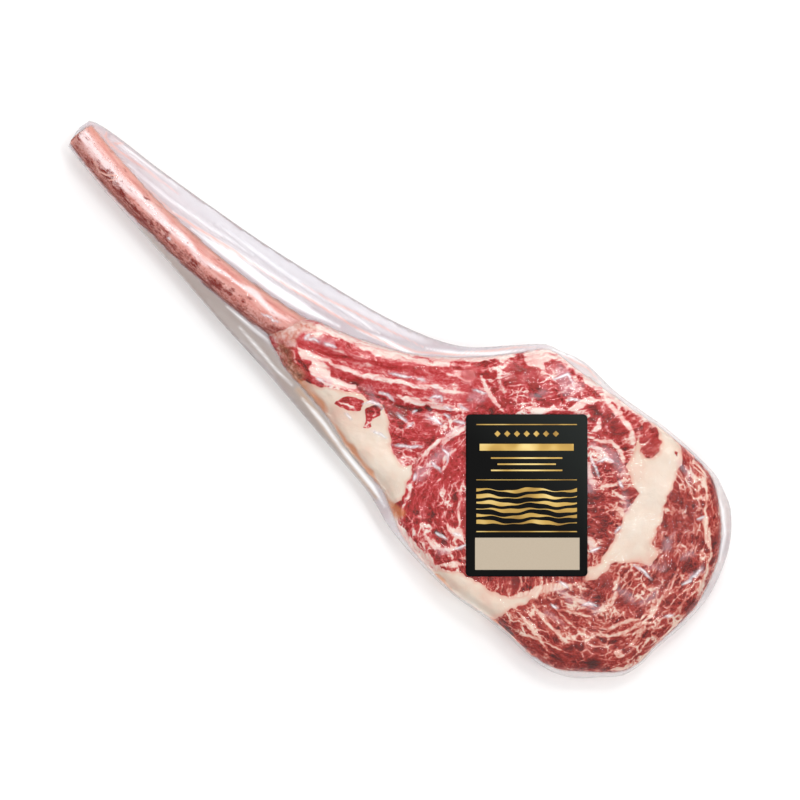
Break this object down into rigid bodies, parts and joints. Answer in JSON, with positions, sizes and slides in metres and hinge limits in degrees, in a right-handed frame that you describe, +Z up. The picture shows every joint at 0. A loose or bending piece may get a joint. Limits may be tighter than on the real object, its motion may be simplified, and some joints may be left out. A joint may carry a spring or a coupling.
{
  "type": "raw tomahawk steak",
  "caption": "Raw bone-in rib steak with a long bare rib bone, sealed flat in a clear vacuum bag with a bare rectangular label on the cut face.",
  "frame": {"origin": "on the floor, under the middle of the pack's box", "axes": "+X from the sawn bone tip to the far end of the meat, +Z up out of the cut face, +Y to the side where the bone meets the meat"},
  "size_m": [0.4882, 0.1642, 0.0428],
  "materials": {
    "bone": "moist raw bone with a thin pink skin",
    "eye_meat": "moist marbled raw beef",
    "cap_meat": "moist marbled raw beef, coarse grain",
    "rib_meat": "moist raw rib meat in long bands",
    "fat": "firm cream beef fat",
    "film": "clear shiny vacuum film",
    "label_card": "black satin card"
  },
  "bodies": {
    "root": {"rib_bone": "bone", "eye_muscle": "eye_meat", "cap_muscle": "cap_meat", "rib_muscle": "rib_meat", "kernel_fat": "fat", "lip_fat": "fat", "edge_fat": "fat", "bag": "film", "label": "label_card"}
  },
  "joints": []
}
